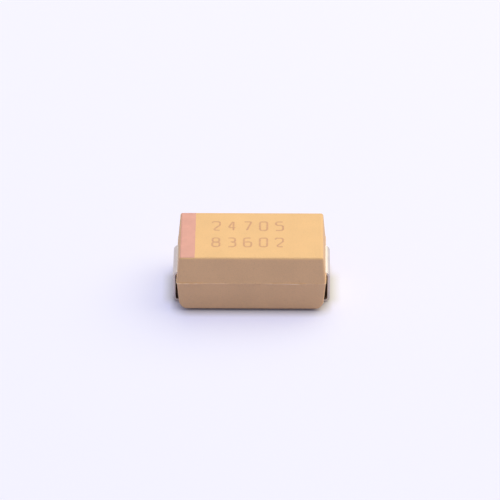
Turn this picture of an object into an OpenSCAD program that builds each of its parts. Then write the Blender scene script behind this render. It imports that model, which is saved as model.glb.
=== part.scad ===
// Moulded chip tantalum capacitor in the EIA 7343-31 case, standing on its two solder terminals.
// Millimetres. Origin: centre of the footprint, on the board. +X points from the anode to the
// cathode, +Z up. The anode is a sintered slug on a wire, coated, glued to the cathode frame,
// welded to the anode frame and moulded into one block of epoxy.

/* [Case] */
// Length of the case at its parting line
case_length = 6.9; // [6.8:0.02:6.94]
// Width of the case at its parting line
case_width = 4.3; // [4.1:0.05:4.6]
// Height of the case's top face above the board
case_top = 2.9; // [2.8:0.05:3.3]
// Gap between the board and the case's underside
standoff = 0.1; // [0.06:0.01:0.12]
// Height of the parting line, where the terminals leave the case
parting_height = 1.57; // [1.52:0.01:1.62]
// Draft of the mould's walls, in degrees
draft = 5; // [2:0.5:6]
// Radius of the case's upright corners and top edges
edge_radius = 0.1; // [0.06:0.01:0.16]
// Radius of the two lower end edges, inside the terminals' bends
heel_radius = 0.4; // [0.2:0.05:0.5]
// How far the flash stands out along the parting line
flash = 0.03; // [0.01:0.005:0.04]
// Width of the polarity band on the top face, measured from the anode end
band_width = 0.72; // [0.4:0.02:1]

/* [Terminals] */
// Length over both terminals
overall_length = 7.3; // [7.28:0.02:7.5]
// Width of each terminal
terminal_width = 2.4; // [2.2:0.05:2.6]
// Length of each foot under the case
foot_length = 1.3; // [1:0.05:1.6]
// Thickness of the frame strip
strip = 0.13; // [0.1:0.01:0.15]
// Radius of each bend at the middle of the strip's thickness
bend_radius = 0.2; // [0.16:0.01:0.24]

/* [Anode] */
// Length of the sintered slug
slug_length = 4.2; // [3.6:0.1:4.2]
// Width of the sintered slug
slug_width = 3; // [2.6:0.1:3]
// Height of the sintered slug
slug_height = 1.5; // [1.2:0.05:1.5]
// Diameter of the riser wire
wire_diameter = 0.3; // [0.24:0.02:0.36]
// Outer diameter of the insulating washer on the wire
washer_diameter = 1; // [0.8:0.05:1.1]

/* [Hidden] */

facets = 32;
beyond = 1;

// Case
parting_thickness = 0.01;
flash_height = 0.05;
band_depth = 0.02;
pocket_clearance = 0.03;
pocket_side_gap = 0.1;

// Terminals
embed = 0.55;
half_length = overall_length / 2;
leg_x = half_length - strip / 2;
foot_tip_x = half_length - foot_length;
frame_x = case_length / 2 - embed;
inner_width = 2;

// Slug and its coats, from the inside out
wire_face_x = -1.9;
slug_end_x = wire_face_x + slug_length;
wire_z = 1.6;
wire_embed = 2.6;
wire_free = 0.78;
washer_thickness = 0.18;
manganese_coat = 0.06;
graphite_coat_thickness = 0.03;
silver_coat_thickness = 0.04;
graphite_setback = 0.2;
silver_setback = 0.35;
coats = manganese_coat + graphite_coat_thickness + silver_coat_thickness;

// Cathode frame's shelf below the slug, and the glue on it
glue = 0.06;
glue_margin = 0.1;
glue_rise = 0.6;
shelf_z = wire_z - slug_height / 2 - coats - glue - strip / 2;
riser_x = slug_end_x + coats + glue + strip / 2;
shelf_length = 3.2;

// Anode frame's weld tab below the wire, which is sunk a little into it
weld_depth = 0.04;
tab_z = wire_z - wire_diameter / 2 + weld_depth - strip / 2;
tab_width = 1;
tab_step_run = 0.2;
tab_start_x = tab_step_run - frame_x;
tab_end_x = wire_face_x - 0.3;

// ---------------------------------------------------------------- bent strip

// Unit step from one corner of a path to the next, for paths that turn square.
function step(from, to) = (to - from) / norm(to - from);

// Outline of a strip that follows a square-turning path, with a round bend at each corner.
module bent_outline(path, radius, thickness) {
    last = len(path) - 1;
    for (i = [0:last - 1]) {
        along = step(path[i], path[i + 1]);
        across = [-along.y, along.x] * thickness / 2;
        start = path[i] + along * (i == 0 ? 0 : radius);
        end = path[i + 1] - along * (i + 1 == last ? 0 : radius);
        polygon([start - across, end - across, end + across, start + across]);
    }
    for (i = [1:last - 1])
        bend_outline(path[i], step(path[i - 1], path[i]), step(path[i], path[i + 1]), radius, thickness);
}

// A quarter ring that turns the strip from one direction into the next.
module bend_outline(corner, coming, going, radius, thickness) {
    centre = corner - coming * radius + going * radius;
    reach = radius + thickness;
    translate(centre)
        intersection() {
            difference() {
                circle(r = radius + thickness / 2, $fn = facets);
                circle(r = radius - thickness / 2, $fn = facets);
            }
            polygon([[0, 0], coming * reach, (coming - going) * reach, -going * reach]);
        }
}

// Turns an outline drawn in X and Z into a plate of the given width, centred on Y = 0.
module plate(width) {
    rotate([90, 0, 0]) linear_extrude(height = width, center = true) children();
}

// ---------------------------------------------------------------- case

// Half of a length or width of the case at height z, drawn in from the parting line by the draft.
function drafted(size, z) = size / 2 - abs(z - parting_height) * tan(draft);

// Places a child at the four corners of a rectangle.
module at_corners(x, y) {
    for (sx = [-1, 1], sy = [-1, 1]) translate([sx * x, sy * y, 0]) children();
}

// Thin plate at the parting line, which both halves of the case grow from.
module parting_plate(grow = 0, height = parting_thickness) {
    r = edge_radius + grow;
    at_corners(case_length / 2 + grow - r, case_width / 2 + grow - r)
        cylinder(r = r, h = height, center = true, $fn = facets);
}

// Half a ball that rounds one of the upper corners.
module corner_dome() {
    rotate_extrude($fn = facets)
        intersection() {
            circle(r = edge_radius, $fn = facets);
            square(edge_radius);
        }
}

// Upper half: drafted walls and rounded top edges.
module upper_half() {
    x = drafted(case_length, case_top) - edge_radius;
    y = drafted(case_width, case_top) - edge_radius;
    hull() {
        translate([0, 0, parting_height]) parting_plate();
        translate([0, 0, case_top - edge_radius]) at_corners(x, y) corner_dome();
    }
}

// Lower half: drafted walls, small front and back edges, and full round heels at the ends.
module lower_half() {
    x = drafted(case_length, standoff) - heel_radius;
    y = drafted(case_width, standoff);
    hull() {
        translate([0, 0, parting_height]) parting_plate();
        for (side = [-1, 1])
            translate([side * x, 0, standoff + heel_radius]) rotate([90, 0, 0]) {
                cylinder(r = heel_radius, h = 2 * (y - edge_radius), center = true, $fn = facets);
                cylinder(r = heel_radius - edge_radius, h = 2 * y, center = true, $fn = facets);
            }
    }
}

// Thin rim of flash that the mould leaves round the parting line.
module flash_rim() {
    hull() {
        translate([0, 0, parting_height]) parting_plate(flash, flash_height / 2);
        translate([0, 0, parting_height]) parting_plate(0, flash_height);
    }
}

module case_block() {
    upper_half();
    lower_half();
    flash_rim();
}

// Shallow pocket in the underside that leaves room for one foot.
module foot_pocket() {
    length = foot_length + pocket_side_gap;
    width = terminal_width + 2 * pocket_side_gap;
    height = strip + pocket_clearance;
    translate([half_length - length, -width / 2, -beyond]) cube([length + beyond, width, height + beyond]);
}

module band_zone() {
    edge = -drafted(case_length, case_top);
    translate([edge - beyond, -case_width / 2, case_top - band_depth])
        cube([band_width + beyond, case_width, beyond]);
}

// Everything that the epoxy is moulded round.
module moulded_in() {
    anode_terminal();
    cathode_terminal();
    slug_block(manganese_coat, -manganese_coat);
    slug_block(manganese_coat + graphite_coat_thickness, graphite_setback);
    slug_block(coats, silver_setback);
    riser_wire();
    insulating_washer();
    silver_adhesive();
}

module case() {
    color("#e2a95c")
        difference() {
            case_block();
            for (side = [0, 1]) mirror([side, 0, 0]) foot_pocket();
            band_zone();
            moulded_in();
        }
}

module polarity_band() {
    color("#c06a4f")
        intersection() {
            upper_half();
            band_zone();
        }
}

// ---------------------------------------------------------------- terminals

// The part of a terminal that shows: foot, leg and shoulder, ending inside the case.
module outer_terminal() {
    plate(terminal_width)
        bent_outline(
            [[foot_tip_x, strip / 2], [leg_x, strip / 2], [leg_x, parting_height], [frame_x, parting_height]],
            bend_radius, strip
        );
}

// Anode terminal: inside, it narrows and steps down to a grooved tab that the wire is welded to.
module anode_terminal() {
    rise = [0, strip / 2];
    frame_end = [-frame_x, parting_height];
    step_down = [tab_start_x, tab_z];
    tab_end = [tab_end_x, tab_z];
    color("#c9c6bd")
        difference() {
            union() {
                mirror([1, 0, 0]) outer_terminal();
                plate(tab_width)
                    polygon([
                        frame_end + rise, step_down + rise, tab_end + rise,
                        tab_end - rise, step_down - rise, frame_end - rise
                    ]);
            }
            riser_wire();
        }
}

// Side view of the cathode frame inside the case: it drops behind the slug and runs below it.
module shelf_outline() {
    bent_outline(
        [
            [frame_x, parting_height], [riser_x, parting_height],
            [riser_x, shelf_z], [riser_x - shelf_length, shelf_z]
        ],
        bend_radius, strip
    );
}

module cathode_terminal() {
    color("#c9c6bd") {
        outer_terminal();
        plate(inner_width) shelf_outline();
    }
}

// ---------------------------------------------------------------- slug, wire and coats

// The slug's block grown by its coats; it starts at a setback from the face that the wire leaves.
module slug_block(grow, setback) {
    width = slug_width + 2 * grow;
    height = slug_height + 2 * grow;
    translate([wire_face_x + setback, -width / 2, wire_z - height / 2])
        cube([slug_length + grow - setback, width, height]);
}

// One sleeve of coating: open at the wire's end, closed at the other.
module coat(inner, thickness, setback) {
    difference() {
        slug_block(inner + thickness, setback);
        slug_block(inner, -beyond);
    }
}

// A round bar along X, from one x to another, on the wire's axis.
module on_wire_axis(from, to, diameter) {
    translate([from, 0, wire_z]) rotate([0, 90, 0]) cylinder(d = diameter, h = to - from, $fn = facets);
}

module riser_wire() {
    color("#8f9094") on_wire_axis(wire_face_x - wire_free, wire_face_x + wire_embed, wire_diameter);
}

module tantalum_slug() {
    color("#4d4f55")
        difference() {
            slug_block(0, 0);
            riser_wire();
        }
}

module washer_disc() {
    on_wire_axis(wire_face_x - washer_thickness, wire_face_x, washer_diameter);
}

module insulating_washer() {
    color("#f3f2ec")
        difference() {
            washer_disc();
            riser_wire();
        }
}

// The first coat covers all six sides, up to the washer.
module manganese_dioxide_coat() {
    color("#2c2622")
        difference() {
            slug_block(manganese_coat, -manganese_coat);
            slug_block(0, 0);
            washer_disc();
        }
}

module graphite_coat() {
    color("#1b1c1e") coat(manganese_coat, graphite_coat_thickness, graphite_setback);
}

module silver_coat() {
    color("#b9babb") coat(manganese_coat + graphite_coat_thickness, silver_coat_thickness, silver_setback);
}

// Conductive glue: it fills the gap between the slug and the cathode frame, below and behind.
module silver_adhesive() {
    end_x = slug_end_x + coats;
    floor_z = shelf_z + strip / 2;
    bed_length = shelf_length - bend_radius - glue_margin;
    color("#9c9d9f")
        plate(inner_width - 2 * glue_margin)
            difference() {
                translate([end_x - bed_length, floor_z]) square([bed_length + glue, glue_rise]);
                translate([end_x - bed_length - beyond, floor_z + glue]) square([bed_length + beyond, glue_rise]);
                shelf_outline();
            }
}

case();
polarity_band();
anode_terminal();
cathode_terminal();
tantalum_slug();
riser_wire();
insulating_washer();
manganese_dioxide_coat();
graphite_coat();
silver_coat();
silver_adhesive();
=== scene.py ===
"""A moulded chip tantalum capacitor: its finer meshes, its finishes and the studio that it stands in.

Lengths are metres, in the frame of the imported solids: X runs from the anode to the cathode and Z up
from the board.
"""

import math

import bmesh
import bpy
import numpy as np
from bpy.props import FloatProperty, FloatVectorProperty, PointerProperty, StringProperty
from bpy.types import Operator, Panel, PropertyGroup
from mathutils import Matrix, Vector


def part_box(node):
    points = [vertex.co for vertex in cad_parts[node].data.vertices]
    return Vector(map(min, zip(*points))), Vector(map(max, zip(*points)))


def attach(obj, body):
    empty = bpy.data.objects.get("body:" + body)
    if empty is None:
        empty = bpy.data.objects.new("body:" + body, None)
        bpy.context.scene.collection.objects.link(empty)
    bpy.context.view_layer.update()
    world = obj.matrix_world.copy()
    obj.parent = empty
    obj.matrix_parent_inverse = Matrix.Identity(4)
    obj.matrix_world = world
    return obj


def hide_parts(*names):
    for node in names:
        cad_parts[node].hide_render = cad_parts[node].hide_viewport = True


bl_info = {
    "name": "Chip Tantalum Capacitor",
    "version": (1, 0, 0),
    "blender": (4, 5, 0),
    "location": "3D View > Sidebar > Capacitor",
    "description": "Detailed meshes, finishes and studio for a moulded chip tantalum capacitor",
    "category": "Add Mesh",
}

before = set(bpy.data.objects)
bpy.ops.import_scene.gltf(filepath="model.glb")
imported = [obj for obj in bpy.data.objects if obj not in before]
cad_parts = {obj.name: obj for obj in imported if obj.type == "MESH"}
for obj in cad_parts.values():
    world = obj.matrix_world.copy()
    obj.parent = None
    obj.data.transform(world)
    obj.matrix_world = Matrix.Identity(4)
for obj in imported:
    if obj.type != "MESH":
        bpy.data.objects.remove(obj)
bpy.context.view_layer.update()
CASE_LOW, CASE_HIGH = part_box("case")
_, BAND_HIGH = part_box("polarity_band")
ANODE_LOW, ANODE_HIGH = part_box("anode_terminal")
_, CATHODE_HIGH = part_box("cathode_terminal")
WIRE_LOW, WIRE_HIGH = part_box("riser_wire")
WASHER_LOW, WASHER_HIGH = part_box("insulating_washer")
WIRE_RADIUS = (WIRE_HIGH.z - WIRE_LOW.z) / 2
WIRE_HEIGHT = (WIRE_HIGH.z + WIRE_LOW.z) / 2

MM = 0.001
MICRON = 0.000001
QUARTER = math.pi / 2
WELD = 0.02 * MICRON
BODY = "root"


# ---------------------------------------------------------------- settings


def length(name, description, value):
    """A property that holds a length in metres."""
    return FloatProperty(name=name, description=description, default=value, unit="LENGTH", precision=6)


def amount(name, description, value):
    """A property that holds a plain number."""
    return FloatProperty(name=name, description=description, default=value, min=0)


def angle(name, description, degrees):
    """A property that holds an angle, given here in degrees."""
    return FloatProperty(
        name=name, description=description, default=math.radians(degrees), unit="ROTATION", subtype="ANGLE"
    )


def colour(name, description, value):
    """A property that holds a linear colour."""
    return FloatVectorProperty(
        name=name, description=description, default=value, size=3, min=0, max=1, subtype="COLOR"
    )


class CaseSettings(PropertyGroup):
    """Form and finish of the epoxy moulding."""

    flash: length("Flash", "How far the flash stands out at the parting line", 0.03 * MM)
    flash_height: length("Flash height", "Height of the rim of flash", 0.05 * MM)
    draft: angle("Draft", "Draft of the mould's walls", 5)
    edge_radius: length("Edge radius", "Radius of the upright corners and top edges", 0.1 * MM)
    heel_radius: length("Heel radius", "Radius of the two lower end edges", 0.4 * MM)
    pocket_length: length("Pocket length", "Length of the pockets from the terminals' outer faces", 1.4 * MM)
    pocket_width: length("Pocket width", "Width of the pockets over the feet", 2.6 * MM)
    pocket_ceiling: length("Pocket ceiling", "Height of the pockets' ceiling above the board", 0.16 * MM)
    epoxy: colour("Epoxy", "Colour of the moulding compound", (0.768, 0.446, 0.168))
    # Flash colour: partly the thin cured flash's own paler tone, partly a painted highlight along the
    # parting line.
    flash_and_highlight_colour: colour("Flash colour", "Colour of the thin cured flash", (0.93, 0.66, 0.36))


class BandSettings(PropertyGroup):
    """Form and finish of the printed polarity band."""

    lift: length("Lift", "How far the ink stands above the moulding", 3 * MICRON)
    depth: length("Depth", "How far the ink reaches into the moulding", 12 * MICRON)
    waviness: length("Waviness", "How far the printed edge wanders", 6 * MICRON)
    ink: colour("Ink", "Colour of the band's ink", (0.665, 0.303, 0.228))


class TerminalSettings(PropertyGroup):
    """Form and finish of the two bent terminals."""

    strip: length("Strip", "Thickness of the strip", 0.13 * MM)
    bend_radius: length("Bend radius", "Radius of each bend at the middle of the strip", 0.2 * MM)
    sheared_radius: length("Sheared edge", "Radius of the strip's sheared edges", 0.025 * MM)
    foot_length: length("Foot length", "Length of each foot", 1.3 * MM)
    shoulder_reach: length("Shoulder reach", "How far the full width runs into the case", 0.55 * MM)
    shelf_width: length("Shelf width", "Width of the cathode strip inside the case", 2.0 * MM)
    shelf_length: length("Shelf length", "Length of the shelf below the slug", 3.2 * MM)
    tab_width: length("Tab width", "Width of the anode's weld tab", 1.0 * MM)
    tin: colour("Tin", "Colour of the matte tin plating", (0.61, 0.555, 0.54))


class MarkSettings(PropertyGroup):
    """The plain numbers burnt into the top face."""

    upper_row: StringProperty(name="Upper row", description="Digits of the upper row", default="24705")
    lower_row: StringProperty(name="Lower row", description="Digits of the lower row", default="83602")
    pitch: length("Pitch", "Distance from one digit to the next", 0.735 * MM)
    digit_width: length("Digit width", "Width of a digit between its strokes' centres", 0.34 * MM)
    digit_height: length("Digit height", "Height of a digit between its strokes' centres", 0.76 * MM)
    stroke: length("Stroke", "Width of a digit's stroke", 0.12 * MM)
    middle: length("Middle", "Place of both rows' middle along the case", -0.18 * MM)
    upper_line: length("Upper line", "Place of the upper row's middle across the case", 0.80 * MM)
    lower_line: length("Lower line", "Place of the lower row's middle across the case", -0.65 * MM)
    burn: colour("Burn", "Colour of the burnt epoxy", (0.54, 0.25, 0.115))


class StudioSettings(PropertyGroup):
    """Floor, light and camera."""

    floor: colour("Floor", "Colour of the floor as it is seen", (0.627, 0.584, 0.473))
    # The floor's glow is darkened near the part by ambient occlusion, which paints a contact shade.
    glow: colour("Glow", "Tint that the floor has of its own where it is seen", (0.24, 0.27, 0.52))
    bounce: colour("Bounce", "Colour of the floor as it lights the part", (0.57, 0.57, 0.95))
    backdrop: colour("Backdrop", "Colour seen and mirrored past the floor", (0.92, 0.91, 0.98))
    sky: colour("Sky", "Colour of the light that comes from all round", (0.60, 0.66, 1.0))
    sky_level: amount("Sky level", "Strength of the light from all round", 0.68)
    key: colour("Key", "Colour of the key light", (1.0, 0.95, 0.62))
    key_level: amount("Key level", "What the key adds on a level white surface", 0.68)
    key_azimuth: angle("Key azimuth", "Turn of the key from straight behind, towards the right", 50)
    key_elevation: angle("Key elevation", "Height of the key above the horizon", 60)
    key_softness: angle("Key softness", "Angle that the key light fills", 80)
    key_distance: length("Key distance", "Distance from the part to the key light", 360 * MM)
    elevation: angle("Elevation", "Height of the camera above the horizon", 31.6)
    turn: angle("Turn", "Turn of the camera about the upright axis", 0.45)
    distance: length("Distance", "Distance from the camera to its aim", 233 * MM)
    view_width: length("View width", "Width of what the camera sees at its aim", 23.28 * MM)
    aim_x: length("Aim along", "Place of the camera's aim along the case", -0.076 * MM)
    aim_z: length("Aim height", "Height of the camera's aim", 2.085 * MM)


# ---------------------------------------------------------------- grids and meshes


def grid_quads(rows, columns, wrap=False):
    """Quads between the points of a grid that is numbered row by row.

    Each quad joins a point to the next in its row and to the two in the row after. With wrap, the
    last point of a row is joined to the first.
    """
    row, column = np.meshgrid(
        np.arange(rows - 1), np.arange(columns if wrap else columns - 1), indexing="ij"
    )
    here = row * columns + column
    beside = row * columns + (column + 1) % columns
    return np.stack([here, beside, beside + columns, here + columns], axis=-1).reshape(-1, 4)


def sheet(points, wrap=False, **attributes):
    """A grid of points, its quads and its attributes, as weld() takes them."""
    rows, columns = points.shape[:2]
    values = {name: np.broadcast_to(value, (rows, columns)).ravel() for name, value in attributes.items()}
    return points.reshape(-1, 3), grid_quads(rows, columns, wrap), values


def weld(name, sheets, sharp=math.radians(35)):
    """One closed mesh object from sheets whose edges meet, with its faces turned outwards."""
    starts = np.cumsum([0] + [len(points) for points, _, _ in sheets])
    mesh = bpy.data.meshes.new(name)
    mesh.from_pydata(
        np.concatenate([points for points, _, _ in sheets]),
        [],
        np.concatenate([quads + start for (_, quads, _), start in zip(sheets, starts)]).tolist(),
    )
    for attribute in sheets[0][2]:
        values = np.concatenate([held[attribute] for _, _, held in sheets])
        held = mesh.attributes.new(attribute, "FLOAT", "POINT")
        held.data.foreach_set("value", values.astype(np.float32))
    work = bmesh.new()
    work.from_mesh(mesh)
    bmesh.ops.remove_doubles(work, verts=work.verts, dist=WELD)
    bmesh.ops.recalc_face_normals(work, faces=work.faces)
    work.to_mesh(mesh)
    work.free()
    mesh.shade_smooth()
    mesh.set_sharp_from_angle(angle=sharp)
    piece = bpy.data.objects.new(name, mesh)
    bpy.context.scene.collection.objects.link(piece)
    return piece


def slab(top, bottom, **attributes):
    """Sheets of a thin closed slab: its top, its bottom and the four strips that join their edges."""
    pairs = [
        (top[0], bottom[0]), (top[-1], bottom[-1]), (top[:, 0], bottom[:, 0]), (top[:, -1], bottom[:, -1])
    ]
    zero = {name: 0.0 for name in attributes}
    return [sheet(top, **attributes), sheet(bottom, **zero)] + [
        sheet(np.stack(pair), **zero) for pair in pairs
    ]


def ring_layout(along, across, corner_steps):
    """Fractions and angles of the points round a rectangle with round corners, anticlockwise.

    A point lies at its fraction of the half sizes less the radius, plus the radius in the direction
    of its angle. Each quarter is one side and one corner, turned a quarter further than the last.
    """
    corner = np.linspace(0, QUARTER, corner_steps + 1)[1:-1]
    fractions, angles = [], []
    for quarter, side in enumerate((across, along, across, along)):
        first = np.ones(len(side) + len(corner))
        second = np.concatenate([side, np.ones(len(corner))])
        cosine, sine = round(math.cos(quarter * QUARTER)), round(math.sin(quarter * QUARTER))
        fractions.append(np.stack([first * cosine - second * sine, first * sine + second * cosine]))
        angles.append(np.concatenate([np.zeros(len(side)), corner]) + quarter * QUARTER)
    return np.concatenate(fractions, axis=1), np.concatenate(angles)


def rings(layout, half_along, half_across, radius):
    """Points of a stack of rounded rectangles, one for each entry of the half sizes and radii."""
    (fraction_along, fraction_across), turn = layout
    half_along, half_across, radius = (np.asarray(v)[:, None] for v in (half_along, half_across, radius))
    return (
        fraction_along * (half_along - radius) + radius * np.cos(turn),
        fraction_across * (half_across - radius) + radius * np.sin(turn),
    )


def cap(along, across, half_along, half_across):
    """Points of a flat rectangular end, on the same fractions as the rings that it closes."""
    return np.meshgrid(along * half_along, across * half_across, indexing="ij")


def rounding(distance, radius):
    """How far a round edge of that radius falls back at a distance from the face that it ends in.

    It is the radius less the root of the radius squared less the square of what is left of it.
    """
    left = np.clip(radius - distance, 0, radius)
    return radius - np.sqrt(radius**2 - left**2)


def waves(place, longest, shortest, count, seed):
    """A repeating wander between about minus one and one: a sum of sines of whole wave numbers.

    place runs from 0 to 1 round the loop. The wave numbers rise evenly on a log scale, and each
    sine has its own phase and an amplitude that falls with the root of its wave number.
    """
    numbers = np.unique(np.round(np.geomspace(longest, shortest, count)))
    phases = np.random.default_rng(seed).uniform(0, 2 * math.pi, len(numbers))
    heights = np.sqrt(numbers[0] / numbers)
    sines = np.sin(2 * math.pi * place[..., None] * numbers + phases) * heights
    return sines.sum(axis=-1) / np.sqrt((heights**2).sum())


def filleted(corners, radii, steps):
    """A path in a plane through corners, with each inner corner replaced by an arc.

    The arc starts and ends at the radius times the tangent of half the turn from the corner, and
    its centre lies beside its start, on the inside of the turn. Where that would take more than
    the longest share of either side, the radius shrinks.
    """
    longest_share = 0.49
    corners = [np.array(c, float) for c in corners]
    path = [corners[0][None]]
    for before, corner, after, radius in zip(corners, corners[1:], corners[2:], radii):
        sides = np.linalg.norm(corner - before), np.linalg.norm(after - corner)
        coming, going = (corner - before) / sides[0], (after - corner) / sides[1]
        turn = math.atan2(coming[0] * going[1] - coming[1] * going[0], coming @ going)
        side = math.copysign(1, turn) * np.array([-coming[1], coming[0]])
        bend = math.tan(abs(turn) / 2)
        radius = min(radius, longest_share * min(sides) / max(bend, MICRON))
        start = corner - coming * radius * bend
        swept = np.linspace(0, abs(turn), steps)[:, None]
        path.append(start + side * radius * (1 - np.cos(swept)) + coming * radius * np.sin(swept))
    path.append(corners[-1][None])
    return np.concatenate(path)


def resampled(path, step, ends=0.0):
    """Points at most a step apart on a path, its own corners included, and their distances along it.

    Near both ends, over the length given, the distances crowd as on a quarter circle.
    """
    places = np.concatenate([[0], np.cumsum(np.linalg.norm(np.diff(path, axis=0), axis=1))])
    total = places[-1]
    wanted = [places, np.arange(0, total, step)]
    if ends:
        crowd = ends * (1 - np.cos(np.linspace(0, QUARTER, 5)))
        wanted += [crowd, total - crowd]
    distances = np.unique(np.round(np.concatenate(wanted), 10))
    distances = distances[np.concatenate([[True], np.diff(distances) > step / 200])]
    distances[-1] = total
    return np.stack([np.interp(distances, places, path[:, k]) for k in (0, 1)], axis=1), distances


def sideways(path):
    """Unit vectors square to a path in a plane, to its left, one for each point."""
    ahead = np.gradient(path, axis=0)
    ahead /= np.linalg.norm(ahead, axis=1, keepdims=True)
    return np.stack([-ahead[:, 1], ahead[:, 0]], axis=1)


def lathe(along, radius, height, wrap=False, around=64):
    """A surface turned about an axis that runs along X at a height: circles of a radius at each place."""
    turn = np.linspace(0, 2 * math.pi, around, endpoint=False)
    along, radius = along[:, None], radius[:, None]
    points = np.stack(
        [along + 0 * turn, radius * np.cos(turn), height + radius * np.sin(turn)], axis=-1
    )
    if wrap:
        points = np.concatenate([points, points[:1]])
    return sheet(points, wrap=True)


# ---------------------------------------------------------------- case


def case_rows(s):
    """Heights of the case's rings, and how far each carries the flash, from the underside up."""
    low, top, parting = CASE_LOW.z, CASE_HIGH.z, parting_height()
    quarter = np.linspace(0, QUARTER, 24)
    heel = low + s.heel_radius * (1 - np.cos(quarter))
    lower = np.linspace(low + s.heel_radius, parting - s.flash_height / 2, 8)[1:-1]
    rim = parting + s.flash_height * np.array([-0.5, -0.4, -0.25, 0.25, 0.4, 0.5])
    upper = np.linspace(parting + s.flash_height / 2, top - s.edge_radius, 8)[1:-1]
    dome = top - s.edge_radius + s.edge_radius * np.sin(np.linspace(0, QUARTER, 12))
    heights = np.concatenate([heel, lower, rim, upper, dome])
    reach = np.interp(heights, rim, [0, 0.8, 1, 1, 0.8, 0])
    return heights, reach


def parting_height():
    """Height of the middle of the strip where it leaves the case."""
    return ANODE_HIGH.z - bpy.context.scene.capacitor_terminals.strip / 2


def half_sizes(s, height):
    """Half length, half width and corner radius of the case at a height.

    The walls fall back from the parting line by the draft, and then round the edges: at the top
    and along the lower front and back by the edge radius, at the lower ends by the heel radius.
    """
    slope = np.abs(height - parting_height()) * math.tan(s.draft)
    above = rounding(CASE_HIGH.z - height, s.edge_radius)
    below = rounding(height - CASE_LOW.z, s.edge_radius)
    heel = rounding(height - CASE_LOW.z, s.heel_radius)
    half_length = CASE_HIGH.x - s.flash - slope - above - heel
    half_width = CASE_HIGH.y - s.flash - slope - above - below
    return half_length, half_width, s.edge_radius - above - below


def fractions(count, *edges):
    """Even fractions from minus one to one, with a close pair of lines at each edge on both sides."""
    step = 0.004
    pairs = [side * edge + shift for edge in edges for side in (-1, 1) for shift in (-step, step)]
    return np.unique(np.concatenate([np.linspace(-1, 1, count), pairs]))


def build_case(s):
    """The moulding: a stack of rounded rectangles with flat ends, flash, and pockets for the feet."""
    low = np.array(CASE_LOW.z)
    half_length, half_width, _ = half_sizes(s, low)
    pocket_along = (-ANODE_LOW.x - s.pocket_length) / half_length
    pocket_across = s.pocket_width / 2 / half_width
    along, across = fractions(121, pocket_along), fractions(73, pocket_across)
    layout = ring_layout(along, across, 8)
    (share_along, share_across), turn = layout

    heights, reach = case_rows(s)
    x, y = rings(layout, *half_sizes(s, heights))
    place = np.linspace(0, 1, len(turn), endpoint=False)
    wander = np.clip(0.55 + 0.42 * waves(place, 3, 90, 26, seed=11), 0.06, 1.3)
    out = s.flash * reach[:, None] * wander
    x, y = x + out * np.cos(turn), y + out * np.sin(turn)
    z = np.broadcast_to(heights[:, None], x.shape)

    def seated(height, share_along, share_across):
        """Raises what lies over a foot to the pocket's ceiling."""
        over = (np.abs(share_along) > pocket_along) & (np.abs(share_across) < pocket_across)
        return np.where(over, np.maximum(height, s.pocket_ceiling), height)

    walls = np.stack([x, y, seated(z, share_along, share_across)], axis=-1)
    ends = []
    for height in (CASE_LOW.z, CASE_HIGH.z):
        half_length, half_width, _ = half_sizes(s, np.array(height))
        cap_x, cap_y = cap(along, across, half_length, half_width)
        flat = np.full_like(cap_x, height)
        ends.append(np.stack([cap_x, cap_y, seated(flat, *cap(along, across, 1, 1))], axis=-1))
    return weld(
        "moulded_case",
        [
            # The flash attribute also masks the painted highlight along the parting line.
            sheet(walls, wrap=True, flash=reach[:, None] * wander),
            sheet(ends[0], flash=0.0),
            sheet(ends[1], flash=0.0),
        ],
    )


# ---------------------------------------------------------------- band and digits


def top_height(s, x, y):
    """Height of the case's upper surface: flat, then falling round the edges outside their centres."""
    half_length, half_width, _ = half_sizes(s, np.array(CASE_HIGH.z))
    outside = np.hypot(np.maximum(np.abs(x) - half_length, 0), np.maximum(np.abs(y) - half_width, 0))
    return CASE_HIGH.z - rounding(s.edge_radius - outside, s.edge_radius)


def build_band(s, case):
    """The ink: a thin slab that follows the top face and its edges, with a slightly uneven inner edge."""
    overlap = 0.06 * MM
    half_length, half_width, _ = half_sizes(case, np.array(CASE_HIGH.z))
    share = np.linspace(-1, 1, 160)
    bend = 1 - np.cos(np.linspace(0, QUARTER, 40))
    y = share * (half_width + overlap)
    start = -(half_length + overlap)
    edge = BAND_HIGH.x + s.waviness * waves((share + 1) / 2, 2, 40, 16, seed=5)
    x = start + (edge - start)[:, None] * bend
    y = np.broadcast_to(y[:, None], x.shape)
    z = top_height(case, x, y)
    return weld(
        "polarity_band_ink",
        slab(np.stack([x, y, z + s.lift], axis=-1), np.stack([x, y, z - s.depth], axis=-1)),
    )


# Strokes of the digits on a cell that is two wide and four high, from its lower left corner.
DIGITS = {
    "0": [[(1.3, 4), (0, 4), (0, 0), (2, 0), (2, 4), (0.7, 4)]],
    "1": [[(0.4, 3.3), (1, 4), (1, 0)]],
    "2": [[(0, 3.3), (0, 4), (2, 4), (2, 2.4), (0, 0), (2, 0)]],
    "3": [[(0, 4), (1.9, 4), (1.9, 2.2), (0.6, 2.2)], [(0.9, 2.05), (2, 2.05), (2, 0), (0, 0)]],
    "4": [[(1.4, 4), (1.4, 0)], [(1.2, 4), (0, 1.3), (2, 1.3)]],
    "5": [[(2, 4), (0.1, 4), (0, 2.4), (2, 2.4), (2, 0), (0, 0)]],
    "6": [[(1.9, 4), (0, 4), (0, 0), (2, 0), (2, 2.2), (0.1, 2.2)]],
    "7": [[(0, 4), (2, 4), (0.7, 0)]],
    "8": [
        [(1.3, 2), (0, 2), (0, 0), (2, 0), (2, 2), (0.7, 2)],
        [(0.7, 2.15), (1.9, 2.15), (1.9, 4), (0.1, 4), (0.1, 2.15), (1.3, 2.15)],
    ],
    "9": [[(0.1, 0), (2, 0), (2, 4), (0, 4), (0, 1.8), (1.9, 1.8)]],
}
SHARP_CORNERS = {"1", "4", "7"}


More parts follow.
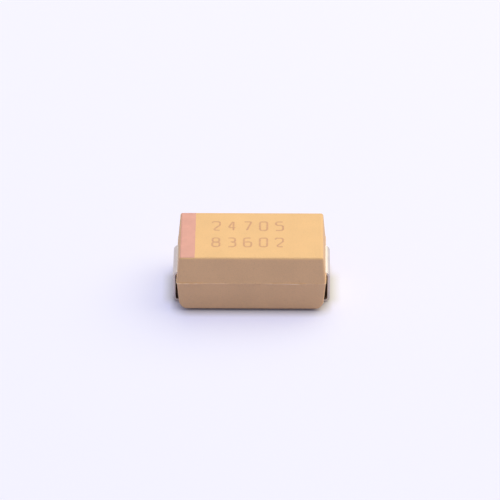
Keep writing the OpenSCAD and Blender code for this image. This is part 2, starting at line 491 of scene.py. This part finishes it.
def stroke_sheets(s, path):
    """One burnt stroke: a low ribbon along a path, with round ends.

    Its half width is the stroke's half width, and at both ends the root of what a circle leaves.
    Its height falls from the middle to the edges by the square of the distance across.
    """
    edge_lift, crown, depth = 1.5 * MICRON, 2 * MICRON, 8 * MICRON
    half = s.stroke / 2
    centre, places = resampled(path, half / 4, ends=half)
    reach = np.minimum(places, places[-1] - places)
    width = half * np.sqrt(1 - np.clip(1 - reach / half, 0, 1) ** 2)
    across = np.linspace(-1, 1, 9)
    flat = centre[:, None] + sideways(centre)[:, None] * (width[:, None] * across)[..., None]
    full = (width / half)[:, None]
    lift = edge_lift + crown * (1 - across**2) * full**2
    core = (1 - np.abs(across)) * full
    top = np.dstack([flat, CASE_HIGH.z + lift])
    bottom = np.dstack([flat, np.full(flat.shape[:2], CASE_HIGH.z - depth)])
    return slab(top, bottom, core=core)


def build_digits(s):
    """Two rows of plain digits, each on a cell that is scaled to the digit's width and height."""
    sheets = []
    sharp, round_corner = s.stroke * 0.55, s.digit_width * 0.36
    scale = np.array([s.digit_width / 2, s.digit_height / 4])
    for row, line in ((s.upper_row, s.upper_line), (s.lower_row, s.lower_line)):
        for column, digit in enumerate(row):
            middle = np.array([s.middle + (column - (len(row) - 1) / 2) * s.pitch, line])
            for stroke in DIGITS[digit]:
                corners = (np.array(stroke, float) - [1, 2]) * scale + middle
                radii = [sharp if digit in SHARP_CORNERS else round_corner] * (len(stroke) - 2)
                sheets += stroke_sheets(s, filleted(corners, radii, 8))
    return weld("value_digits", sheets)


# ---------------------------------------------------------------- terminals


def sweep_strip(name, s, path, half_widths, groove=None):
    """A strip of even thickness carried along a path in X and Z.

    Its section is a rounded rectangle, as wide as half_widths says for each distance along the path.
    Both ends shrink by the rounding of the sheared edge.
    """
    step = 0.03 * MM
    centre, places = resampled(path, step, ends=s.sheared_radius)
    reach = np.minimum(places, places[-1] - places)
    shrink = rounding(reach, s.sheared_radius)
    along, across = np.linspace(-1, 1, 41), np.linspace(-1, 1, 5)
    layout = ring_layout(along, across, 5)
    half_width, half_strip = half_widths(places) - shrink, s.strip / 2 - shrink
    radius = s.sheared_radius - shrink
    side, rise = rings(layout, half_width, half_strip, radius)
    normal = sideways(centre)

    def placed(side, rise, point, direction):
        """Puts points of a section on the path."""
        flat = point + direction * rise[..., None]
        return np.stack([flat[..., 0], side, flat[..., 1]], axis=-1)

    body = placed(side, rise, centre[:, None], normal[:, None])
    sheets = [sheet(body, wrap=True)]
    for end in (0, -1):
        cap_side, cap_rise = cap(along, across, half_width[end], half_strip[end])
        sheets.append(sheet(placed(cap_side, cap_rise, centre[end], normal[end])))
    if groove:
        sheets = [(groove(points), quads, held) for points, quads, held in sheets]
    return weld(name, sheets)


def outer_corners(s):
    """Corners of the strip's path outside the case, from the foot's tip to where its full width ends."""
    foot = -ANODE_LOW.x - s.foot_length
    leg = -ANODE_LOW.x - s.strip / 2
    inner = CASE_HIGH.x - bpy.context.scene.capacitor_case.flash - s.shoulder_reach
    return [(foot, s.strip / 2), (leg, s.strip / 2), (leg, parting_height()), (inner, parting_height())]


def stepped_width(path, inner, first, second):
    """Half the strip's width by distance: the first up to where its highest run comes to inner."""
    places = np.concatenate([[0], np.cumsum(np.linalg.norm(np.diff(path, axis=0), axis=1))])
    highest = path[:, 1] > path[:, 1].max() - MICRON
    limit = places[int(np.argmax(highest & (path[:, 0] <= inner)))] + WELD
    return lambda distance: np.where(distance <= limit, first, second)


def build_cathode(s):
    """The cathode strip: outside as the anode's, inside it drops behind the slug and runs below it."""
    outer = outer_corners(s)
    inner = outer[-1][0]
    glue_low, glue_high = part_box("silver_adhesive")
    riser, shelf_height = glue_high.x + s.strip / 2, glue_low.z - s.strip / 2
    corners = outer[:-1] + [
        (inner, parting_height()), (riser, parting_height()), (riser, shelf_height),
        (riser - s.shelf_length, shelf_height),
    ]
    radii = [s.bend_radius, s.bend_radius, 0, s.bend_radius, s.bend_radius]
    path = filleted(corners, radii, 14)
    width = stepped_width(path, inner, CATHODE_HIGH.y, s.shelf_width / 2)
    return sweep_strip("cathode_lead", s, path, width)


def build_anode(s):
    """The anode strip, mirrored: inside it narrows and steps down to a tab with a groove for the wire."""
    outer = outer_corners(s)
    inner = outer[-1][0]
    weld_depth, step_run = 0.04 * MM, 0.2 * MM
    tab_height = WIRE_LOW.z + weld_depth - s.strip / 2
    tab_end = -ANODE_HIGH.x
    corners = outer[:-1] + [
        (inner, parting_height()), (inner - step_run, tab_height), (tab_end, tab_height)
    ]
    radii = [s.bend_radius, s.bend_radius, 0, s.strip]
    path = filleted(corners, radii, 14) * [-1, 1]
    width = stepped_width(path * [-1, 1], inner, ANODE_HIGH.y, s.tab_width / 2)

    def groove(points):
        """Presses the tab's upper face down to the wire's round underside."""
        x, y, z = points.T
        under = WIRE_HEIGHT - np.sqrt(np.clip(WIRE_RADIUS**2 - y**2, 0, None))
        below_wire = (np.abs(y) < WIRE_RADIUS) & (x > WIRE_LOW.x) & (z > under) & (z < WIRE_HEIGHT)
        return np.stack([x, y, np.where(below_wire, under, z)], axis=1)

    return sweep_strip("anode_lead", s, path, width, groove)


# ---------------------------------------------------------------- wire and washer


def build_wire():
    """The riser wire: a cylinder with rounded ends."""
    edge = WIRE_RADIUS * 0.2
    bend = np.linspace(0, QUARTER, 7)
    start = WIRE_LOW.x + edge * (1 - np.cos(bend))
    stop = WIRE_LOW.x + WIRE_HIGH.x - start[::-1]
    round_end = WIRE_RADIUS - edge + edge * np.sin(bend)
    along = np.concatenate([[WIRE_LOW.x], start, stop, [WIRE_HIGH.x]])
    radius = np.concatenate([[0], round_end, round_end[::-1], [0]])
    return weld("drawn_wire", [lathe(along, radius, WIRE_HEIGHT)])


def build_washer():
    """The washer: a rounded rectangle turned about the wire's axis."""
    height = (WASHER_HIGH.z + WASHER_LOW.z) / 2
    outer, inner = (WASHER_HIGH.z - WASHER_LOW.z) / 2, WIRE_RADIUS
    thick, edge = (WASHER_HIGH.x - WASHER_LOW.x) / 2, 0.03 * MM
    layout = ring_layout(np.linspace(-1, 1, 2), np.linspace(-1, 1, 2), 8)
    along, radius = rings(layout, [thick], [(outer - inner) / 2], [edge])
    along, radius = along[0] + (WASHER_HIGH.x + WASHER_LOW.x) / 2, radius[0] + (outer + inner) / 2
    return weld("washer_ring", [lathe(along, radius, height, wrap=True)])


# ---------------------------------------------------------------- finishes


class Value:
    """A socket in an expression: each operation on it adds a Math node."""

    def __init__(self, finish, socket):
        self.finish, self.socket = finish, socket

    def math(self, operation, first, second):
        """One Math node."""
        return self.finish.node("ShaderNodeMath", {"operation": operation}, {0: first, 1: second})

    def __add__(self, other):
        return self.math("ADD", self, other)

    def __sub__(self, other):
        return self.math("SUBTRACT", self, other)

    def __rsub__(self, other):
        return self.math("SUBTRACT", other, self)

    def __mul__(self, other):
        return self.math("MULTIPLY", self, other)

    __radd__ = __add__
    __rmul__ = __mul__


class Nodes:
    """A node tree being made."""

    def __init__(self, tree):
        self.tree = tree
        self.tree.nodes.clear()

    def node(self, kind, settings=None, inputs=None, output=0):
        """Adds a node: first its settings, then its sockets, as numbers or links."""
        made = self.tree.nodes.new(kind)
        for name, value in (settings or {}).items():
            setattr(made, name, value)
        for key, value in (inputs or {}).items():
            self.feed(made.inputs[key], value)
        return Value(self, made.outputs[output]) if made.outputs else made

    def feed(self, socket, value):
        """Links a socket to a value, or sets it."""
        if isinstance(value, Value):
            self.tree.links.new(value.socket, socket)
        else:
            socket.default_value = value

    def mix(self, factor, first, second):
        """A colour between two."""
        colours = {6: opaque(first), 7: opaque(second)}
        return self.node("ShaderNodeMix", {"data_type": "RGBA"}, {0: factor, **colours}, output=2)

    def seen(self):
        """One where the eye, a mirror or glass looks, and nothing where light is gathered."""
        rays = [
            self.node("ShaderNodeLightPath", output=f"Is {kind} Ray")
            for kind in ("Camera", "Glossy", "Transmission")
        ]
        return self.node(
            "ShaderNodeMath", {"operation": "ADD", "use_clamp": True}, {0: rays[0] + rays[1], 1: rays[2]}
        )


class Finish(Nodes):
    """A material being made: its Principled shader and the nodes that feed it."""

    def __init__(self, name, **constants):
        self.material = bpy.data.materials.new(name)
        self.material.use_nodes = True
        super().__init__(self.material.node_tree)
        self.shader = self.node("ShaderNodeBsdfPrincipled")
        self.output = self.node("ShaderNodeOutputMaterial", None, {"Surface": self.shader})
        self.set(**constants)
        self.place = self.node("ShaderNodeTexCoord", output="Object")

    def set(self, **sockets):
        """Sets or links the shader's own sockets; an underscore stands for a space in a name."""
        for name, value in sockets.items():
            self.feed(self.shader.socket.node.inputs[name.replace("_", " ")], value)

    def noise(self, size, detail=2.0, stretch=(1, 1, 1)):
        """Noise around one half whose blots measure about size in metres, stretched along each axis."""
        place = self.place
        if stretch != (1, 1, 1):
            scale = tuple(1 / s for s in stretch)
            place = self.node("ShaderNodeMapping", None, {"Vector": place, "Scale": scale})
        return self.node(
            "ShaderNodeTexNoise", None, {"Vector": place, "Scale": 1 / size, "Detail": detail}
        )

    def cells(self, size):
        """Distance to the nearest of scattered points that lie about size apart, in metres."""
        return self.node("ShaderNodeTexVoronoi", None, {"Vector": self.place, "Scale": 1 / size})

    def clamped(self, value, low, high):
        """A value brought from low..high to 0..1 and held there."""
        return self.node(
            "ShaderNodeMapRange", None, {"Value": value, "From Min": low, "From Max": high}
        )

    def attribute(self, name):
        """A number held by each point of the mesh."""
        return self.node("ShaderNodeAttribute", {"attribute_name": name}, output="Fac")

    def bump(self, height, distance, strength=1.0):
        """Roughens the surface by a height between 0 and 1, at a distance in metres."""
        self.set(
            Normal=self.node(
                "ShaderNodeBump", None, {"Height": height, "Distance": distance, "Strength": strength}
            )
        )


def opaque(value):
    """A colour with its alpha, where it is a plain colour."""
    return value if isinstance(value, Value) else (*value[:3], 1.0)


def tinted(value, factor):
    """A colour made lighter or darker by a factor."""
    return tuple(min(1.0, channel * factor) for channel in value)


def moulded_surface(finish, colour_in):
    """Moulding compound: faint clouds, fine filler specks and the grain of a spark-eroded mould."""
    clouds = finish.noise(1.4 * MM, 3)
    specks = finish.clamped(finish.noise(0.035 * MM, 2), 0.3, 0.7)
    grain = finish.noise(0.05 * MM, 3)
    pits = finish.cells(0.09 * MM)
    finish.set(Roughness=0.5 + 0.14 * specks)
    flecks = 1 - finish.clamped(finish.cells(0.13 * MM), 0.12, 0.24)
    finish.bump(0.7 * grain + 0.5 * pits, 7 * MICRON, 1.0)
    shade = finish.clamped(clouds + 0.6 * specks - 0.5 * flecks, 0.35, 1.15)
    return finish.mix(shade, tinted(colour_in, 0.92), tinted(colour_in, 1.06))


def epoxy_finish(s):
    """The case: moulding compound, paler on the flash rim, partly the thin flash's own tone and partly a
    painted highlight along the parting line.
    """
    finish = Finish("moulded_epoxy", Specular_IOR_Level=0.9)
    ground = moulded_surface(finish, tuple(s.epoxy))
    # Paler along the flash rim, in blots: the thin flash's own tone, and a painted highlight on the parting
    # line's ridge.
    flash_and_highlight_blots = finish.clamped(finish.noise(0.35 * MM, 3), 0.35, 0.6)
    finish.set(Base_Color=finish.mix(finish.attribute("flash") * flash_and_highlight_blots, ground, tuple(s.flash_and_highlight_colour)))
    return finish.material


def burn_finish(s, case):
    """The digits: the same compound, browner towards the middle of each stroke."""
    finish = Finish("burnt_epoxy", Specular_IOR_Level=0.9)
    ground = moulded_surface(finish, tuple(case.epoxy))
    patches = finish.clamped(finish.noise(0.12 * MM, 3), 0.25, 0.65)
    depth = finish.clamped(finish.attribute("core"), 0.0, 0.55)
    finish.set(Base_Color=finish.mix(depth * (0.55 + 0.45 * patches), ground, tuple(s.burn)))
    return finish.material


def ink_finish(s):
    """The band: matte ink that follows the grain below it, a little uneven in its cover."""
    finish = Finish("band_ink", Specular_IOR_Level=0.8)
    cover = finish.clamped(finish.noise(0.5 * MM, 4), 0.3, 0.7)
    grain = finish.noise(0.05 * MM, 3)
    finish.set(
        Base_Color=finish.mix(cover, tinted(s.ink, 0.94), tinted(s.ink, 1.06)),
        Roughness=0.48 + 0.16 * grain,
    )
    finish.bump(grain, 3 * MICRON, 0.5)
    return finish.material


def tin_finish(s):
    """The terminals: matte tin with faint rolling lines, cloudy gloss and a fine crystal grain."""
    finish = Finish("matte_tin", Metallic=1.0)
    lines = finish.noise(0.02 * MM, 3, stretch=(14, 1, 14))
    clouds = finish.clamped(finish.noise(0.6 * MM, 3), 0.3, 0.7)
    grain = finish.noise(0.018 * MM, 2)
    finish.set(
        Base_Color=finish.mix(0.5 * clouds + 0.5 * lines, tinted(s.tin, 0.88), tinted(s.tin, 1.1)),
        Roughness=0.38 + 0.1 * clouds + 0.08 * lines,
    )
    finish.bump(0.6 * lines + 0.4 * grain, 2.5 * MICRON, 0.7)
    return finish.material


def sinter_finish():
    """The slug: pressed and sintered powder, dark and full of fine pores."""
    finish = Finish("sintered_tantalum", Metallic=0.6)
    pores = finish.clamped(finish.cells(0.03 * MM), 0.0, 0.6)
    grain = finish.noise(0.02 * MM, 4)
    finish.set(
        Base_Color=finish.mix(pores, (0.035, 0.037, 0.042), (0.12, 0.125, 0.135)),
        Roughness=0.6 + 0.25 * grain,
    )
    finish.bump(pores + grain, 6 * MICRON, 0.7)
    return finish.material


def wire_finish():
    """The riser wire: grey tantalum with fine drawing lines along it."""
    finish = Finish("tantalum_wire", Metallic=1.0)
    lines = finish.noise(0.01 * MM, 3, stretch=(30, 1, 1))
    finish.set(
        Base_Color=finish.mix(lines, (0.25, 0.25, 0.27), (0.38, 0.38, 0.40)),
        Roughness=0.28 + 0.15 * lines,
    )
    finish.bump(lines, 1 * MICRON, 0.5)
    return finish.material


def washer_finish():
    """The washer: waxy white polymer."""
    finish = Finish("white_polymer", Specular_IOR_Level=0.35)
    clouds = finish.noise(0.2 * MM, 3)
    finish.set(
        Base_Color=finish.mix(clouds, (0.80, 0.80, 0.77), (0.90, 0.90, 0.88)),
        Roughness=0.42 + 0.1 * clouds,
    )
    finish.bump(clouds, 2 * MICRON, 0.4)
    return finish.material


def oxide_finish():
    """The first coat: a dull brown-black crust of small crystals."""
    finish = Finish("manganese_dioxide")
    crust = finish.cells(0.025 * MM)
    lumps = finish.noise(0.15 * MM, 4)
    finish.set(
        Base_Color=finish.mix(lumps, (0.012, 0.010, 0.009), (0.035, 0.029, 0.024)),
        Roughness=0.55 + 0.3 * crust,
    )
    finish.bump(crust + lumps, 8 * MICRON, 0.8)
    return finish.material


def graphite_finish():
    """The second coat: dark grey, slightly shiny where it was dipped thick."""
    finish = Finish("graphite")
    flow = finish.noise(0.4 * MM, 4, stretch=(1, 1, 2))
    grain = finish.noise(0.015 * MM, 3)
    finish.set(
        Base_Color=finish.mix(flow, (0.011, 0.011, 0.012), (0.028, 0.028, 0.031)),
        Roughness=0.38 + 0.25 * grain,
    )
    finish.bump(flow + 0.3 * grain, 5 * MICRON, 0.6)
    return finish.material


def silver_finish(name, shade, flake):
    """Dried silver: flakes in a binder, dull grey with a soft sparkle."""
    finish = Finish(name, Metallic=0.75)
    flakes = finish.cells(flake)
    flow = finish.noise(0.5 * MM, 4)
    finish.set(
        Base_Color=finish.mix(flow, tinted(shade, 0.85), tinted(shade, 1.1)),
        Roughness=0.42 + 0.25 * flakes,
    )
    finish.bump(flow + 0.5 * flakes, 5 * MICRON, 0.6)
    return finish.material


def floor_finish(s):
    """A matte pale floor that is clear from below. Where it is seen it has an even glow of its own, which
    fades by the squared ambient occlusion near the part: painted contact shade.
    """
    painted_shade_reach = 0.6 * MM
    finish = Finish("floor", Roughness=0.9, Specular_IOR_Level=0.1, Emission_Strength=1.0)
    seen = finish.seen()
    painted_contact_shade_ao = finish.node("ShaderNodeAmbientOcclusion", {"samples": 16}, {"Distance": painted_shade_reach}, "AO")
    finish.set(
        Base_Color=finish.mix(seen, tuple(s.bounce), tuple(s.floor)),
        # Painted contact shade: the floor's glow fades to nothing by the squared ambient occlusion where the
        # part is close.
        Emission_Color=finish.mix(seen * painted_contact_shade_ao * painted_contact_shade_ao, (0, 0, 0), tuple(s.glow)),
    )
    below = finish.node("ShaderNodeNewGeometry", output="Backfacing")
    clear = finish.node("ShaderNodeBsdfTransparent")
    either = finish.node("ShaderNodeMixShader", None, {0: below, 1: finish.shader, 2: clear})
    finish.feed(finish.output.inputs["Surface"], either)
    return finish.material


# ---------------------------------------------------------------- operators


def dress(piece, material, slot, *nodes):
    """Gives a new piece its finish, and lets it ride with the part in place of those solids."""
    piece.data.materials.clear()
    piece.data.materials.append(material)
    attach(piece, BODY)
    if nodes:
        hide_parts(*nodes)


def refinish(node, material):
    """Gives a solid that stays a better finish."""
    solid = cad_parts[node]
    for held in solid.material_slots:
        held.material = material


class CAPACITOR_OT_case(Operator):
    """Build the epoxy moulding with its parting line and foot pockets"""

    bl_idname = "capacitor.case"
    bl_label = "Moulded case"

    def execute(self, context):
        s = context.scene.capacitor_case
        dress(build_case(s), epoxy_finish(s), "moulded_epoxy", "case")
        return {"FINISHED"}


class CAPACITOR_OT_band(Operator):
    """Print the polarity band on the top face"""

    bl_idname = "capacitor.band"
    bl_label = "Polarity band"

    def execute(self, context):
        s = context.scene.capacitor_band
        dress(build_band(s, context.scene.capacitor_case), ink_finish(s), "band_ink", "polarity_band")
        return {"FINISHED"}


class CAPACITOR_OT_digits(Operator):
    """Burn two rows of plain digits into the top face"""

    bl_idname = "capacitor.digits"
    bl_label = "Plain digits"

    def execute(self, context):
        s = context.scene.capacitor_digits
        dress(build_digits(s), burn_finish(s, context.scene.capacitor_case), "moulded_epoxy")
        return {"FINISHED"}


class CAPACITOR_OT_terminals(Operator):
    """Bend the two tin-plated terminals"""

    bl_idname = "capacitor.terminals"
    bl_label = "Terminals"

    def execute(self, context):
        s = context.scene.capacitor_terminals
        tin = tin_finish(s)
        dress(build_anode(s), tin, "tin_plate", "anode_terminal")
        dress(build_cathode(s), tin, "tin_plate", "cathode_terminal")
        return {"FINISHED"}


class CAPACITOR_OT_anode(Operator):
    """Turn the wire and washer, and finish the slug and its coats"""

    bl_idname = "capacitor.anode"
    bl_label = "Slug, wire and coats"

    def execute(self, context):
        dress(build_wire(), wire_finish(), "tantalum_wire", "riser_wire")
        dress(build_washer(), washer_finish(), "white_polymer", "insulating_washer")
        refinish("tantalum_slug", sinter_finish())
        refinish("manganese_dioxide_coat", oxide_finish())
        refinish("graphite_coat", graphite_finish())
        refinish("silver_coat", silver_finish("silver_paint", (0.56, 0.56, 0.57), 0.02 * MM))
        refinish("silver_adhesive", silver_finish("silver_glue", (0.38, 0.38, 0.40), 0.03 * MM))
        return {"FINISHED"}


class CAPACITOR_OT_studio(Operator):
    """Lay the floor and set the light and the camera"""

    bl_idname = "capacitor.studio"
    bl_label = "Floor, light and camera"

    def execute(self, context):
        s = context.scene.capacitor_studio
        build_floor(s)
        build_world(s)
        build_key(s)
        build_camera(s)
        return {"FINISHED"}


def build_floor(s):
    """A wide square floor at the board's level."""
    reach = 2.0
    corners = np.array([[[-reach, -reach, 0], [-reach, reach, 0]], [[reach, -reach, 0], [reach, reach, 0]]])
    floor = weld("floor", [sheet(corners[::-1])])
    floor.data.materials.append(floor_finish(s))
    if floor.data.polygons[0].normal.z < 0:
        floor.data.flip_normals()


def build_world(s):
    """Light from all round, and the backdrop's own colour wherever it is looked at."""
    world = bpy.data.worlds.new("studio")
    bpy.context.scene.world = world
    world.use_nodes = True
    nodes = Nodes(world.node_tree)
    light = nodes.node(
        "ShaderNodeBackground", None, {"Color": opaque(tuple(s.sky)), "Strength": s.sky_level}
    )
    shown = nodes.node("ShaderNodeBackground", None, {"Color": opaque(tuple(s.backdrop))})
    either = nodes.node("ShaderNodeMixShader", None, {0: nodes.seen(), 1: light, 2: shown})
    nodes.node("ShaderNodeOutputWorld", None, {"Surface": either})


def build_key(s):
    """A round lamp that fills its angle as seen from the part.

    A disk of radiance one lights a surface that faces it by pi times the squared sine of half its
    angle. Its power is its radiance times pi times its area.
    """
    reach = s.key_distance * math.tan(s.key_softness / 2)
    radiance = s.key_level / (math.sin(s.key_softness / 2) ** 2 * math.sin(s.key_elevation))
    data = bpy.data.lights.new("key", "AREA")
    data.shape = "DISK"
    data.size = 2 * reach
    data.color = s.key
    data.energy = radiance * math.pi * math.pi * reach**2
    key = bpy.data.objects.new("key", data)
    key.visible_camera = False
    level = math.cos(s.key_elevation)
    towards = Vector(
        (level * math.sin(s.key_azimuth), level * math.cos(s.key_azimuth), math.sin(s.key_elevation))
    )
    key.rotation_euler = towards.to_track_quat("Z", "Y").to_euler()
    key.location = towards * s.key_distance
    bpy.context.scene.collection.objects.link(key)


def build_camera(s):
    """The camera stands at its distance from its aim, against the direction that it looks in."""
    data = bpy.data.cameras.new("camera")
    data.sensor_width = 36
    data.lens = data.sensor_width * s.distance / s.view_width
    data.clip_start, data.clip_end = s.distance / 50, 10.0
    camera = bpy.data.objects.new("camera", data)
    camera.rotation_euler = (QUARTER - s.elevation, 0, s.turn)
    level = math.cos(s.elevation)
    back = Vector((level * math.sin(s.turn), -level * math.cos(s.turn), math.sin(s.elevation)))
    camera.location = Vector((s.aim_x, 0, s.aim_z)) + back * s.distance
    bpy.context.scene.collection.objects.link(camera)
    bpy.context.scene.camera = camera
    bpy.context.scene.view_settings.view_transform = "Standard"


class CAPACITOR_PT_panel(Panel):
    """Buttons and settings of the capacitor"""

    bl_idname = "CAPACITOR_PT_panel"
    bl_label = "Chip Tantalum Capacitor"
    bl_space_type = "VIEW_3D"
    bl_region_type = "UI"
    bl_category = "Capacitor"

    def draw(self, context):
        for step in STEPS:
            self.layout.operator(step.bl_idname)
        for holder, group in SETTINGS.items():
            box = self.layout.box()
            for name in group.__annotations__:
                box.prop(getattr(context.scene, holder), name)


SETTINGS = {
    "capacitor_case": CaseSettings,
    "capacitor_band": BandSettings,
    "capacitor_digits": MarkSettings,
    "capacitor_terminals": TerminalSettings,
    "capacitor_studio": StudioSettings,
}
STEPS = (
    CAPACITOR_OT_case,
    CAPACITOR_OT_band,
    CAPACITOR_OT_digits,
    CAPACITOR_OT_terminals,
    CAPACITOR_OT_anode,
    CAPACITOR_OT_studio,
)


def register():
    """Registers the settings, the steps and the panel."""
    for made in (*SETTINGS.values(), *STEPS, CAPACITOR_PT_panel):
        bpy.utils.register_class(made)
    for holder, group in SETTINGS.items():
        setattr(bpy.types.Scene, holder, PointerProperty(type=group))


def unregister():
    """Takes them out again."""
    for holder in SETTINGS:
        delattr(bpy.types.Scene, holder)
    for made in reversed((*SETTINGS.values(), *STEPS, CAPACITOR_PT_panel)):
        bpy.utils.unregister_class(made)


def main():
    """Registers the add-on and runs every step."""
    register()
    for step in STEPS:
        family, name = step.bl_idname.split(".")
        getattr(getattr(bpy.ops, family), name)()


if __name__ == "__main__":
    main()
